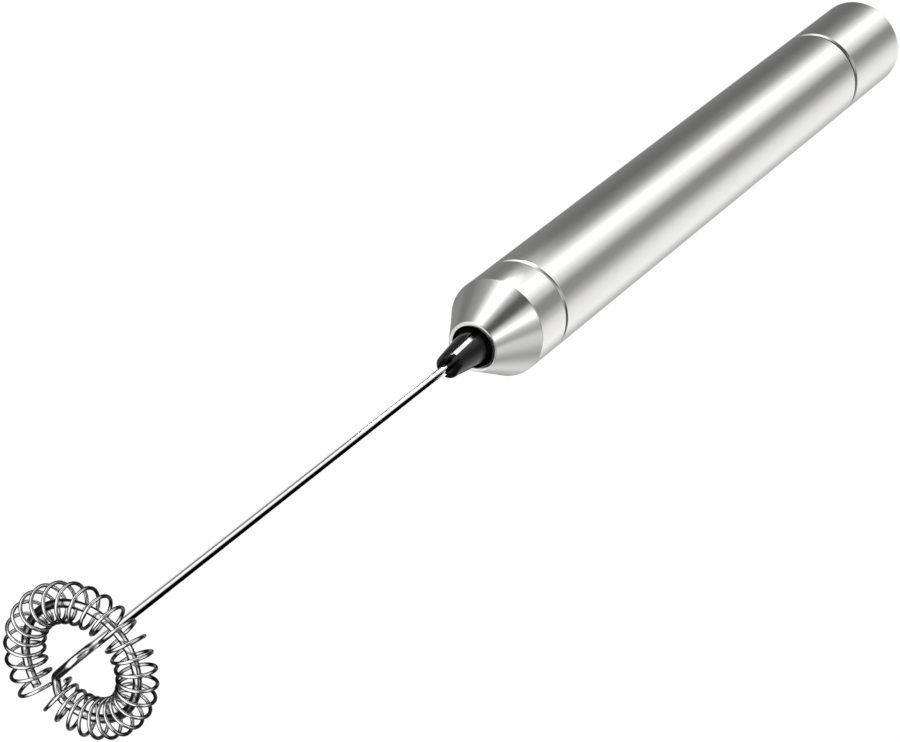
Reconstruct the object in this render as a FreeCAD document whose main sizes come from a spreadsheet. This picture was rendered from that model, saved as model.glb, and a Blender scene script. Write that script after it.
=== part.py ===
"""Battery milk frother: a straight steel handle with a conical nose, a tapered collet, and a wire whisk.

The frother stands on the flat end of its tail cap. Z is the axis of the handle, of the motor and of the
whisk, z = 0 is the end of the tail cap, and the whisk is at the top. All sizes are in millimetres.
"""

import FreeCAD
import Part
import Sketcher
import math
import os

doc = FreeCAD.newDocument("milk_frother")

# --------------------------------------------------------------------------------------------------
# Driving dimensions
# --------------------------------------------------------------------------------------------------
SIZES = {
    # outside of the handle
    "body_radius": 8.5,
    "tube_wall": 0.45,
    "tail_joint_height": 20.2,
    "nose_joint_height": 136.3,
    "joint_gap": 0.2,
    "joint_chamfer": 0.25,
    "end_round": 0.45,
    # nose
    "cone_base_height": 144.5,
    "nose_tip_height": 152.6,
    "nose_tip_radius": 4.3,
    "nose_hole_radius": 3.6,
    "nose_step": 0.12,
    "nose_bore_radius": 6.42,
    "nose_bore_top": 143.2,
    "nose_ledge_radius": 5.2,
    "nose_ledge_height": 139.8,
    "spigot_bottom": 133.0,
    "lip_round": 0.3,
    # collet
    "collet_bottom": 143.0,
    "collet_top": 160.8,
    "collet_base_radius": 3.5,
    "collet_straight_top": 148.4,
    "collet_tip_radius": 1.9,
    "flute_width": 1.25,
    "flute_depth": 0.42,
    "flute_end_margin": 0.75,
    "flute_count": 3,
    "flute_angle": -61.0,
    "tip_slot_width": 1.5,
    "tip_slot_depth": 1.2,
    # whisk
    "wire_radius": 0.65,
    "wire_bottom": 149.0,
    "whisk_height": 261.2,
    "whisk_arm_angle": 91.5,
    "shaft_bend_radius": 2.4,
    "arm_bend_radius": 1.1,
    "arm_bend_angle": 48.0,
    "ring_bend_radius": 2.2,
    "ring_centre_x": -1.3,
    "ring_centre_y": -0.4,
    "ring_radius": 7.83,
    "ring_growth": 2.4,
    "ring_start_angle": 98.0,
    "ring_join_angle": 106.0,
    "ring_end_angle": 440.5,
    "coil_radius": 2.7,
    "coil_wire_radius": 0.28,
    "coil_turns": 26.5,
    "coil_end_angle": 440.0,
    # motor
    "shaft_radius": 1.0,
    "shaft_bottom": 120.7,
    "shaft_top": 148.6,
    "bearing_clearance": 0.03,
    "motor_radius": 6.4,
    "motor_wall": 0.5,
    "motor_bottom": 121.3,
    "motor_top": 139.0,
    "front_wall": 0.8,
    "boss_radius": 3.0,
    "boss_top": 140.0,
    "front_bush_radius": 2.2,
    "front_bush_top": 140.3,
    "rear_bush_radius": 2.0,
    "bell_bottom": 119.9,
    "bell_top": 122.7,
    "core_radius": 4.3,
    "core_bottom": 126.2,
    "core_top": 135.2,
    "hub_radius": 1.7,
    "arm_width": 1.6,
    "pole_depth": 0.7,
    "pole_angle": 96.0,
    "winding_width": 0.85,
    "winding_overhang": 0.8,
    "winding_gap": 0.05,
    "commutator_radius": 1.8,
    "commutator_bottom": 123.1,
    "commutator_top": 125.1,
    "magnet_inner_radius": 4.6,
    "magnet_angle": 136.0,
    "magnet_bottom": 124.8,
    "magnet_top": 136.6,
    "damper_inner_radius": 3.3,
    "damper_outer_radius": 6.3,
    "terminal_radius": 4.3,
    "terminal_length": 1.4,
    # battery compartment
    "cell_radius": 7.2,
    "cell_length": 50.5,
    "cell_nub_radius": 2.6,
    "cell_nub_height": 1.1,
    "cells_bottom": 17.0,
    "sleeve_inner_radius": 7.35,
    "sleeve_outer_radius": 7.7,
    "sleeve_bottom": 24.5,
    "sleeve_collar_length": 3.0,
    "neck_bore_radius": 7.35,
    "neck_crest_radius": 7.85,
    "neck_bottom": 13.2,
    "neck_top": 24.3,
    "strip_width": 3.0,
    "strip_thickness": 0.3,
    "strip_radius": 7.5,
    "plate_thickness": 0.3,
    # tail cap
    "cap_wall": 0.6,
    "cap_end_wall": 1.2,
    "cup_top": 8.5,
    "cup_floor_bottom": 5.0,
    "cup_floor_top": 5.8,
    "cup_bore_radius": 5.7,
    "disc_chamber_radius": 4.2,
    "ground_ring_inner": 2.6,
    "ground_ring_thickness": 0.3,
    "holder_top": 12.9,
    "holder_bore_radius": 5.6,
    "holder_floor_bottom": 10.2,
    "holder_floor_top": 11.0,
    "seal_inner_radius": 7.88,
    "seal_outer_radius": 8.3,
    "seal_thickness": 0.3,
    "seat_radius": 5.0,
    "seat_thickness": 0.4,
    "rivet_radius": 1.2,
    "rivet_bottom": 8.55,
    # button and springs
    "button_radius": 4.5,
    "button_clearance": 0.12,
    "button_recess": 0.35,
    "button_flange_radius": 5.4,
    "button_flange_top": 2.3,
    "button_dish_depth": 0.3,
    "stem_radius": 1.3,
    "stem_clearance": 0.12,
    "disc_radius": 3.4,
    "disc_bottom": 6.5,
    "disc_thickness": 0.4,
    "button_spring_radius": 2.6,
    "button_spring_wire": 0.16,
    "button_spring_turns": 3,
    "battery_spring_radius": 3.9,
    "battery_spring_wire": 0.35,
    "battery_spring_turns": 4,
}

sheet = doc.addObject("Spreadsheet::Sheet", "Sizes")
for row, (alias, value) in enumerate(SIZES.items(), start=1):
    sheet.set(f"A{row}", alias.replace("_", " "))
    sheet.set(f"B{row}", str(value))
    sheet.setAlias(f"B{row}", alias)
doc.recompute()


def size(alias):
    """The value of a driving dimension, as a plain number."""
    return float(sheet.get(alias))


def cell(expression):
    """An expression on the sheet's aliases, with the sheet's name put before each alias."""
    words = []
    for word in expression.split():
        bare = word.strip("()")
        words.append(word.replace(bare, "Sizes." + bare) if bare in SIZES else word)
    return " ".join(words)


def value_of(expression):
    """The number that an expression on the sheet's aliases gives."""
    return float(sheet.evalExpression(cell(expression)))


# --------------------------------------------------------------------------------------------------
# Ways of making a piece
# --------------------------------------------------------------------------------------------------
PIECES = []


def finished(piece, label):
    """Gives a piece its label, which names its file, and lists it as a sub-part."""
    piece.Label = label
    PIECES.append(piece)
    return piece


def plane_of(body, role):
    """One of a body's own origin planes or axes."""
    return next(f for f in body.Origin.OriginFeatures if f.Role == role)


def profile_sketch(body, name, points):
    """A closed outline on the body's XZ plane. Each point is (radius, height), both expressions on the sheet."""
    sketch = body.newObject("Sketcher::SketchObject", name)
    sketch.AttachmentSupport = [(plane_of(body, "XZ_Plane"), "")]
    sketch.MapMode = "FlatFace"
    places = [FreeCAD.Vector(value_of(r), value_of(z), 0) for r, z in points]
    count = len(places)
    for i in range(count):
        sketch.addGeometry(Part.LineSegment(places[i], places[(i + 1) % count]), False)
    for i in range(count):
        sketch.addConstraint(Sketcher.Constraint("Coincident", i, 2, (i + 1) % count, 1))
    for i, (r, z) in enumerate(points):
        for kind, axis, words, at in (("DistanceX", -2, r, places[i].x), ("DistanceY", -1, z, places[i].y)):
            if abs(at) < 1e-9:
                sketch.addConstraint(Sketcher.Constraint("PointOnObject", i, 1, axis))
            else:
                index = sketch.addConstraint(Sketcher.Constraint(kind, -1, 1, i, 1, at))
                sketch.setExpression(f"Constraints[{index}]", cell(words))
    return sketch


def turned(name, points):
    """A body turned about Z from a closed outline of (radius, height) points."""
    body = doc.addObject("PartDesign::Body", name + "_body")
    sketch = profile_sketch(body, name + "_outline", points)
    turn = body.newObject("PartDesign::Revolution", name + "_turn")
    turn.Profile = sketch
    turn.ReferenceAxis = (sketch, ["V_Axis"])
    turn.Angle = 360.0
    sketch.Visibility = False
    return body


def round_edges(body, name, radius, wanted):
    """Fillets the circular edges of a body that lie at the wanted (radius, height) places."""
    doc.recompute()
    base = body.Tip
    names = []
    for i, edge in enumerate(base.Shape.Edges, start=1):
        circle = edge.Curve
        if not isinstance(circle, Part.Circle):
            continue
        if any(abs(circle.Radius - r) < 0.01 and abs(circle.Center.z - z) < 0.01 for r, z in wanted):
            names.append(f"Edge{i}")
    fillet = body.newObject("PartDesign::Fillet", name)
    fillet.Base = (base, names)
    fillet.setExpression("Radius", cell(radius))
    return fillet


def cylinder(name, radius, bottom, top, angle=None, turn=0.0):
    """A Part cylinder on the Z axis. angle gives a sector, which starts at turn degrees."""
    piece = doc.addObject("Part::Cylinder", name)
    piece.setExpression("Radius", cell(radius))
    piece.setExpression("Height", cell(f"{top} - ( {bottom} )"))
    if angle is not None:
        piece.setExpression("Angle", cell(angle))
    piece.setExpression("Placement.Base.z", cell(bottom))
    piece.Placement.Rotation = FreeCAD.Rotation(FreeCAD.Vector(0, 0, 1), turn)
    return piece


def block(name, length, width, height, at, turn=0.0):
    """A Part box of expressions, moved to at (x, y, z), then turned about Z by turn degrees."""
    piece = doc.addObject("Part::Box", name)
    piece.setExpression("Length", cell(length))
    piece.setExpression("Width", cell(width))
    piece.setExpression("Height", cell(height))
    place = FreeCAD.Vector(*[value_of(word) for word in at])
    rotation = FreeCAD.Rotation(FreeCAD.Vector(0, 0, 1), turn)
    piece.Placement = FreeCAD.Placement(rotation.multVec(place), rotation)
    return piece


def cut(name, base, tool):
    """base with tool taken out of it."""
    piece = doc.addObject("Part::Cut", name)
    piece.Base = base
    piece.Tool = tool
    return piece


def fused(name, pieces):
    """Several shapes made into one solid."""
    piece = doc.addObject("Part::MultiFuse", name)
    piece.Shapes = pieces
    return piece


def grouped(name, pieces):
    """Several separate solids kept as one sub-part."""
    piece = doc.addObject("Part::Compound", name)
    piece.Links = pieces
    return piece


def swept_wire(label, path, radius):
    """A round wire swept along a path of lines and arcs, or along a smooth curve through points."""
    coiled = isinstance(path, list)
    if coiled:
        curve = Part.BSplineCurve()
        curve.interpolate(path)
        path = Part.Wire(curve.toShape())
    first_edge = path.OrderedEdges[0]
    start = first_edge.valueAt(first_edge.FirstParameter)
    direction = first_edge.tangentAt(first_edge.FirstParameter)
    section = Part.Wire(Part.Circle(start, direction, radius).toShape())
    piece = doc.addObject("Part::Feature", label + "_sweep")
    piece.Shape = path.makePipeShell([section], True, coiled)
    share = piece.Shape.Volume / (math.pi * radius**2 * path.Length)
    print(label, "volume over section times length", round(share, 4))
    return finished(piece, label)


def coil_spring(label, radius, wire, bottom, top, turns):
    """A compression spring on the Z axis, closer wound at its ends. bottom and top are its outer heights."""
    low = value_of(f"{bottom} + {wire}")
    high = value_of(f"{top} - ( {wire} )")
    steps = round(size(turns) * 24)
    points = []
    for i in range(steps + 1):
        share = i / steps
        angle = 2 * math.pi * size(turns) * share
        rise = share - 0.5 * math.sin(2 * math.pi * share) / (2 * math.pi)
        height = low + (high - low) * rise
        points.append(FreeCAD.Vector(size(radius) * math.cos(angle), size(radius) * math.sin(angle), height))
    return swept_wire(label, points, size(wire))


# --------------------------------------------------------------------------------------------------
# Handle: a plain steel tube between the tail cap and the nose
# --------------------------------------------------------------------------------------------------
def make_handle_tube():
    inside = "body_radius - tube_wall"
    bottom = "tail_joint_height + seal_thickness / 2"
    top = "nose_joint_height - joint_gap / 2"
    outline = [
        (inside, bottom),
        ("body_radius - joint_chamfer", bottom),
        ("body_radius", f"{bottom} + joint_chamfer"),
        ("body_radius", f"{top} - joint_chamfer"),
        ("body_radius - joint_chamfer", top),
        (inside, top),
    ]
    return finished(turned("handle_tube", outline), "handle_tube")


def make_nose_cone():
    """Band and cone in one turned piece, with a spigot that is pressed into the tube."""
    joint = "nose_joint_height + joint_gap / 2"
    outline = [
        ("nose_bore_radius", "spigot_bottom"),
        ("body_radius - tube_wall", "spigot_bottom"),
        ("body_radius - tube_wall", joint),
        ("body_radius - joint_chamfer", joint),
        ("body_radius", f"{joint} + joint_chamfer"),
        ("body_radius", "cone_base_height"),
        ("body_radius - nose_step", "cone_base_height + nose_step"),
        ("nose_tip_radius", "nose_tip_height"),
        ("nose_hole_radius", "nose_tip_height"),
        ("nose_hole_radius", "nose_tip_height - 3.2"),
        ("nose_ledge_radius", "nose_bore_top"),
        ("nose_ledge_radius", "nose_ledge_height"),
        ("nose_bore_radius", "nose_ledge_height"),
    ]
    body = turned("nose_cone", outline)
    tip = (size("nose_tip_radius"), size("nose_tip_height"))
    round_edges(body, "nose_lip", "lip_round", [tip])
    return finished(body, "nose_cone")


# --------------------------------------------------------------------------------------------------
# Tail cap: shell, switch parts and spring, which unscrew as one
# --------------------------------------------------------------------------------------------------
def make_end_cap():
    inside = "body_radius - cap_wall"
    top = "tail_joint_height - seal_thickness / 2"
    hole = "button_radius + button_clearance"
    outline = [
        (hole, "0"),
        ("body_radius", "0"),
        ("body_radius", f"{top} - joint_chamfer"),
        ("body_radius - joint_chamfer", top),
        (inside, top),
        (inside, "cap_end_wall"),
        (hole, "cap_end_wall"),
    ]
    body = turned("end_cap", outline)
    round_edges(body, "end_rounding", "end_round", [(size("body_radius"), 0.0)])
    return finished(body, "end_cap")


def make_switch_cup():
    inside = "body_radius - cap_wall"
    stem_hole = "stem_radius + stem_clearance"
    outline = [
        ("cup_bore_radius", "cap_end_wall"),
        (inside, "cap_end_wall"),
        (inside, "cup_top"),
        ("disc_chamber_radius", "cup_top"),
        ("disc_chamber_radius", "cup_floor_top"),
        (stem_hole, "cup_floor_top"),
        (stem_hole, "cup_floor_bottom"),
        ("cup_bore_radius", "cup_floor_bottom"),
    ]
    return finished(turned("switch_cup", outline), "switch_cup")


def make_ground_ring():
    top = "cup_top + ground_ring_thickness"
    outer = cylinder("ground_ring_disc", "body_radius - cap_wall", "cup_top", top)
    inner = cylinder("ground_ring_hole", "ground_ring_inner", "cup_top", top)
    return finished(cut("ground_ring_cut", outer, inner), "ground_ring")


def make_spring_holder():
    """A moulding pressed into the cap. Its floor carries the spring's seat."""
    inside = "body_radius - cap_wall"
    bottom = "cup_top + ground_ring_thickness"
    rivet_hole = "rivet_radius + 0.1"
    outline = [
        ("disc_chamber_radius", bottom),
        (inside, bottom),
        (inside, "holder_top"),
        ("holder_bore_radius", "holder_top"),
        ("holder_bore_radius", "holder_floor_top"),
        (rivet_hole, "holder_floor_top"),
        (rivet_hole, "holder_floor_bottom"),
        ("disc_chamber_radius", "holder_floor_bottom"),
    ]
    return finished(turned("spring_holder", outline), "spring_holder")


def make_cap_seal():
    """A thin washer between the rim of the cap and the end of the tube."""
    bottom = "tail_joint_height - seal_thickness / 2"
    top = "tail_joint_height + seal_thickness / 2"
    outer = cylinder("seal_outer", "seal_outer_radius", bottom, top)
    inner = cylinder("seal_inner", "seal_inner_radius", bottom, top)
    return finished(cut("seal_cut", outer, inner), "cap_seal")


def make_spring_seat():
    """A brass disc with a rivet through the holder's floor, which is the switch's fixed contact."""
    outline = [
        ("0", "rivet_bottom"),
        ("rivet_radius", "rivet_bottom"),
        ("rivet_radius", "holder_floor_top"),
        ("seat_radius", "holder_floor_top"),
        ("seat_radius", "holder_floor_top + seat_thickness"),
        ("0", "holder_floor_top + seat_thickness"),
    ]
    return finished(turned("spring_seat", outline), "spring_seat")


def make_battery_spring():
    return coil_spring(
        "battery_spring",
        "battery_spring_radius",
        "battery_spring_wire",
        "holder_floor_top + seat_thickness + 0.02",
        "cells_bottom - 0.02",
        "battery_spring_turns",
    )


# --------------------------------------------------------------------------------------------------
# Button: it is pushed up into the cap, and its disc then bridges the ground ring and the rivet
# --------------------------------------------------------------------------------------------------
def make_push_button():
    """A stepped moulding with a shallow dish for the fingertip, a flange that keeps it in, and a stem."""
    outline = [
        ("0", "button_recess + button_dish_depth"),
        ("1.2", "button_recess + button_dish_depth"),
        ("button_radius - 0.9", "button_recess"),
        ("button_radius - 0.3", "button_recess"),
        ("button_radius", "button_recess + 0.3"),
        ("button_radius", "cap_end_wall + 0.08"),
        ("button_flange_radius", "cap_end_wall + 0.08"),
        ("button_flange_radius", "button_flange_top"),
        ("stem_radius", "button_flange_top"),
        ("stem_radius", "disc_bottom"),
        ("0", "disc_bottom"),
    ]
    return finished(turned("push_button", outline), "push_button")


def make_button_spring():
    return coil_spring(
        "button_spring",
        "button_spring_radius",
        "button_spring_wire",
        "button_flange_top + 0.02",
        "cup_floor_bottom - 0.02",
        "button_spring_turns",
    )


def make_contact_disc():
    disc = cylinder("contact_disc_blank", "disc_radius", "disc_bottom", "disc_bottom + disc_thickness")
    return finished(disc, "contact_disc")


# --------------------------------------------------------------------------------------------------
# Battery compartment
# --------------------------------------------------------------------------------------------------
def make_threaded_neck():
    """A ring pressed into the tube, with a neck below it that stands at the crests of its thread."""
    outline = [
        ("neck_bore_radius", "neck_bottom"),
        ("neck_crest_radius", "neck_bottom"),
        ("neck_crest_radius", "tail_joint_height + seal_thickness / 2"),
        ("body_radius - tube_wall", "tail_joint_height + seal_thickness / 2"),
        ("body_radius - tube_wall", "neck_top"),
        ("neck_bore_radius", "neck_top"),
    ]
    return finished(turned("threaded_neck", outline), "threaded_neck")


def make_battery_sleeve():
    """A thin tube round the cells, held central by a collar at each end, with a slot for the strip."""
    outside = "body_radius - tube_wall"
    top = "cells_bottom + 2 * cell_length"
    outline = [
        ("sleeve_inner_radius", "sleeve_bottom"),
        (outside, "sleeve_bottom"),
        (outside, "sleeve_bottom + sleeve_collar_length"),
        ("sleeve_outer_radius", "sleeve_bottom + sleeve_collar_length"),
        ("sleeve_outer_radius", f"{top} - sleeve_collar_length"),
        (outside, f"{top} - sleeve_collar_length"),
        (outside, top),
        ("sleeve_inner_radius", top),
    ]
    body = turned("battery_sleeve", outline)
    slot = block(
        "strip_slot",
        "2",
        "strip_width + 0.4",
        f"{top} - sleeve_bottom + 2",
        ("strip_radius - 0.4", "- strip_width / 2 - 0.2", "sleeve_bottom - 1"),
    )
    return finished(cut("battery_sleeve_slotted", body, slot), "battery_sleeve")


def make_return_strip():
    """The flat conductor from the threaded neck to the motor, in the sleeve's slot."""
    bottom = "neck_top"
    strip = block(
        "return_strip_blank",
        "strip_thickness",
        "strip_width",
        f"bell_bottom - 0.1 - {bottom}",
        ("strip_radius", "- strip_width / 2", bottom),
    )
    return finished(strip, "return_strip")


def make_battery(label, bottom):
    """A dry cell with its positive nub at the top."""
    can_top = f"{bottom} + cell_length - cell_nub_height"
    outline = [
        ("0", bottom),
        ("cell_radius - 0.3", bottom),
        ("cell_radius", f"{bottom} + 0.3"),
        ("cell_radius", f"{can_top} - 0.3"),
        ("cell_radius - 0.3", can_top),
        ("cell_nub_radius", can_top),
        ("cell_nub_radius", f"{bottom} + cell_length"),
        ("0", f"{bottom} + cell_length"),
    ]
    return finished(turned(label, outline), label)


def make_positive_contact():
    """A strip under the carrier that reaches from the front cell's nub to one motor terminal."""
    plate = block(
        "positive_plate",
        "4.6",
        "3.4 + terminal_radius + 0.5",
        "plate_thickness",
        ("- 2.3", "- 3.4", "cells_bottom + 2 * cell_length"),
    )
    return finished(plate, "positive_contact")


def make_contact_carrier():
    """A plastic disc between the cells and the motor, with slots for the terminals and the strip."""
    bottom = "cells_bottom + 2 * cell_length + plate_thickness"
    disc = cylinder("carrier_disc", "body_radius - tube_wall", bottom, "bell_bottom")
    tools = [
        block(
            f"terminal_slot_{turn}",
            "0.8",
            "2.6",
            "4",
            ("terminal_radius - 0.2", "- 1.3", "bell_bottom - 3"),
            turn=90.0 + turn,
        )
        for turn in (0, 180)
    ]
    tools.append(
        block(
            "carrier_strip_slot",
            "2",
            "strip_width + 0.4",
            "4",
            ("strip_radius - 0.4", "- strip_width / 2 - 0.2", "bell_bottom - 3"),
        )
    )
    return finished(cut("contact_carrier_cut", disc, fused("carrier_slots", tools)), "contact_carrier")


# --------------------------------------------------------------------------------------------------
# Motor, fixed parts
# --------------------------------------------------------------------------------------------------
def make_motor_can():
    inside = "motor_radius - motor_wall"
    outline = [
        (inside, "motor_bottom"),
        ("motor_radius", "motor_bottom"),
        ("motor_radius", "motor_top - 0.5"),
        ("motor_radius - 0.5", "motor_top"),
        ("boss_radius", "motor_top"),
        ("boss_radius", "boss_top"),
        ("front_bush_radius", "boss_top"),
        ("front_bush_radius", "motor_top - front_wall"),
        (inside, "motor_top - front_wall"),
    ]
    return finished(turned("motor_can", outline), "motor_can")


def make_motor_end_bell():
    inside = "motor_radius - motor_wall"
    outline = [
        ("rear_bush_radius", "bell_bottom"),
        ("motor_radius", "bell_bottom"),
        ("motor_radius", "motor_bottom"),
        (inside, "motor_bottom"),
        (inside, "bell_top"),
        ("rear_bush_radius", "bell_top"),
    ]
    return finished(turned("motor_end_bell", outline), "motor_end_bell")


def make_bush(label, radius, bottom, top):
    """A sintered bearing with running clearance round the shaft."""
    outer = cylinder(label + "_outer", radius, bottom, top)
    inner = cylinder(label + "_bore", "shaft_radius + bearing_clearance", bottom, top)
    return finished(cut(label + "_cut", outer, inner), label)


def make_motor_magnets():
    magnets = []
    for turn in (0, 180):
        start = turn - size("magnet_angle") / 2
        outer = cylinder(
            f"magnet_outer_{turn}",
            "motor_radius - motor_wall",
            "magnet_bottom",
            "magnet_top",
            angle="magnet_angle",
            turn=start,
        )
        inner = cylinder(f"magnet_inner_{turn}", "magnet_inner_radius", "magnet_bottom", "magnet_top")
        magnets.append(cut(f"magnet_{turn}", outer, inner))
    return finished(grouped("magnet_pair", magnets), "motor_magnets")


def make_motor_brushes():
    """Two flat brushes that stand on the end bell, one each side of the commutator."""
    brushes = [
        block(
            f"brush_{turn}",
            "0.4",
            "2.4",
            "commutator_top - bell_top - 0.2",
            ("commutator_radius + 0.05", "- 1.2", "bell_top"),
            turn=90.0 + turn,
        )
        for turn in (0, 180)
    ]
    return finished(grouped("brush_pair", brushes), "motor_brushes")


def make_motor_terminals():
    terminals = [
        block(
            f"terminal_{turn}",
            "0.4",
            "2.0",
            "terminal_length",
            ("terminal_radius", "- 1.0", "bell_bottom - terminal_length"),
            turn=90.0 + turn,
        )
        for turn in (0, 180)
    ]
    return finished(grouped("terminal_pair", terminals), "motor_terminals")


def make_motor_holder():
    """A plastic ring that keeps the motor central in the tube, below the nose's spigot."""
    outer = cylinder("holder_ring_outer", "body_radius - tube_wall", "bell_bottom", "spigot_bottom")
    inner = cylinder("holder_ring_inner", "motor_radius", "bell_bottom", "spigot_bottom")
    return finished(cut("holder_ring_cut", outer, inner), "motor_holder")


def make_motor_damper():
    """A soft ring between the motor's face and the ledge in the nose."""
    outer = cylinder("damper_outer", "damper_outer_radius", "motor_top", "nose_ledge_height")
    inner = cylinder("damper_inner", "damper_inner_radius", "motor_top", "nose_ledge_height")
    return finished(cut("damper_cut", outer, inner), "motor_damper")


# --------------------------------------------------------------------------------------------------
# Motor, turning parts
# --------------------------------------------------------------------------------------------------
def make_motor_shaft():
    return finished(cylinder("motor_shaft_rod", "shaft_radius", "shaft_bottom", "shaft_top"), "motor_shaft")


def make_armature_core():
    """Three poles: a hub, an arm for each pole, and a curved shoe on the end of each arm."""
    solids = [cylinder("core_hub", "hub_radius", "core_bottom", "core_top")]
    height = "core_top - core_bottom"
    for pole in range(3):
        turn = 120.0 * pole
        length = "core_radius - pole_depth / 2"
        at = ("0", "- arm_width / 2", "core_bottom")
        solids.append(block(f"core_arm_{pole}", length, "arm_width", height, at, turn=turn))
        start = turn - size("pole_angle") / 2
        shoe = cylinder(f"shoe_outer_{pole}", "core_radius", "core_bottom", "core_top", "pole_angle", start)
        inner = cylinder(f"shoe_inner_{pole}", "core_radius - pole_depth", "core_bottom", "core_top")
        solids.append(cut(f"core_shoe_{pole}", shoe, inner))
    whole = fused("core_poles", solids)
    bore = cylinder("core_bore", "shaft_radius", "core_bottom", "core_top")
    return finished(cut("core_cut", whole, bore), "armature_core")


def make_armature_windings():
    """One coil of copper wire round each arm, kept inside the curve of the shoes."""
    coils = []
    inside = "core_radius - pole_depth - winding_gap"
    for pole in range(3):
        turn = 120.0 * pole
        bottom = "core_bottom - winding_overhang"
        top = "core_top + winding_overhang"
        at = ("hub_radius + 0.4", "- arm_width / 2 - winding_width", bottom)
        width = "arm_width + 2 * winding_width"
        outer = block(f"winding_block_{pole}", "core_radius", width, f"{top} - ( {bottom} )", at, turn)
        trimmed = doc.addObject("Part::Common", f"winding_outer_{pole}")
        trimmed.Base = outer
        trimmed.Tool = cylinder(f"winding_limit_{pole}", inside, bottom, top)
        at = ("hub_radius", "- arm_width / 2", "core_bottom")
        arm = block(f"winding_core_{pole}", "core_radius", "arm_width", "core_top - core_bottom", at, turn)
        coils.append(cut(f"winding_{pole}", trimmed, arm))
    return finished(grouped("winding_set", coils), "armature_windings")


def make_commutator():
    outer = cylinder("commutator_outer", "commutator_radius", "commutator_bottom", "commutator_top")
    inner = cylinder("commutator_bore", "shaft_radius", "commutator_bottom", "commutator_top")
    return finished(cut("commutator_cut", outer, inner), "commutator")


# --------------------------------------------------------------------------------------------------
# Collet: a tapered black moulding that joins the motor shaft to the whisk's wire
# --------------------------------------------------------------------------------------------------
def make_collet():
    outline = [
        ("shaft_radius", "collet_bottom"),
        ("collet_base_radius - 0.3", "collet_bottom"),
        ("collet_base_radius", "collet_bottom + 0.3"),
        ("collet_base_radius", "collet_straight_top"),
        ("collet_tip_radius + 0.1", "collet_top - 0.25"),
        ("collet_tip_radius - 0.1", "collet_top"),
        ("wire_radius", "collet_top"),
        ("wire_radius", "wire_bottom"),
        ("shaft_radius", "wire_bottom"),
    ]
    body = turned("collet_blank", outline)
    tools = []
    # A flute is a round-ended groove that follows the taper, so its tool is a sloping rod.
    low = FreeCAD.Vector(size("collet_base_radius") + 0.02, 0, size("collet_straight_top"))
    high = FreeCAD.Vector(size("collet_tip_radius") + 0.1, 0, size("collet_top"))
    slope = high.sub(low)
    outward = FreeCAD.Vector(slope.z, 0, -slope.x).normalize()
    rod_radius = size("flute_width") / 2
    along = FreeCAD.Vector(slope).normalize()
    length = slope.Length - size("flute_end_margin") - rod_radius
    for number in range(int(size("flute_count"))):
        turn = size("flute_angle") + 360.0 / size("flute_count") * number
        spin = FreeCAD.Rotation(FreeCAD.Vector(0, 0, 1), turn)
        start = spin.multVec(low.add(outward * (rod_radius - size("flute_depth"))))
        lean = FreeCAD.Rotation(FreeCAD.Vector(0, 0, 1), spin.multVec(along))
        rod = doc.addObject("Part::Cylinder", f"flute_rod_{number}")
        rod.setExpression("Radius", cell("flute_width / 2"))
        rod.Height = length + size("flute_end_margin")
        rod.Placement = FreeCAD.Placement(start.sub(spin.multVec(along) * size("flute_end_margin")), lean)
        ball = doc.addObject("Part::Sphere", f"flute_end_{number}")
        ball.setExpression("Radius", cell("flute_width / 2"))
        ball.Placement.Base = start.add(spin.multVec(along) * length)
        tools += [rod, ball]
    slot_length = "4 * collet_tip_radius"
    tools.append(
        block(
            "tip_slot",
            "tip_slot_width",
            slot_length,
            "tip_slot_depth + 1",
            ("- tip_slot_width / 2", "- 2 * collet_tip_radius", "collet_top - tip_slot_depth"),
            turn=8.0,
        )
    )
    return finished(cut("collet_cut", body, fused("collet_tools", tools)), "collet")


# --------------------------------------------------------------------------------------------------
# Whisk: one bent wire, and a coil spring threaded over its ring
# --------------------------------------------------------------------------------------------------
def ring_point(degrees, outward=0.0, rise=0.0):
    """A point beside the ring's centre line. The ring is a spiral, so its two ends pass each other."""
    growth = size("ring_growth") * (degrees - size("ring_start_angle")) / 360.0
    radius = size("ring_radius") + growth + outward
    angle = math.radians(degrees)
    return FreeCAD.Vector(
        size("ring_centre_x") + radius * math.cos(angle),
        size("ring_centre_y") + radius * math.sin(angle),
        size("whisk_height") + rise,
    )


def heading(degrees):
    """A level unit vector, turned from +X."""
    return FreeCAD.Vector(math.cos(math.radians(degrees)), math.sin(math.radians(degrees)), 0)


def level_bend(start, way, degrees, radius):
    """A left-hand bend that starts in direction way. Gives the arc and the point where it ends."""
    centre = start + heading(way + 90) * radius
    middle = centre + heading(way - 90 + degrees / 2) * radius
    end = centre + heading(way - 90 + degrees) * radius
    return Part.Arc(start, middle, end).toShape(), end


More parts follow.
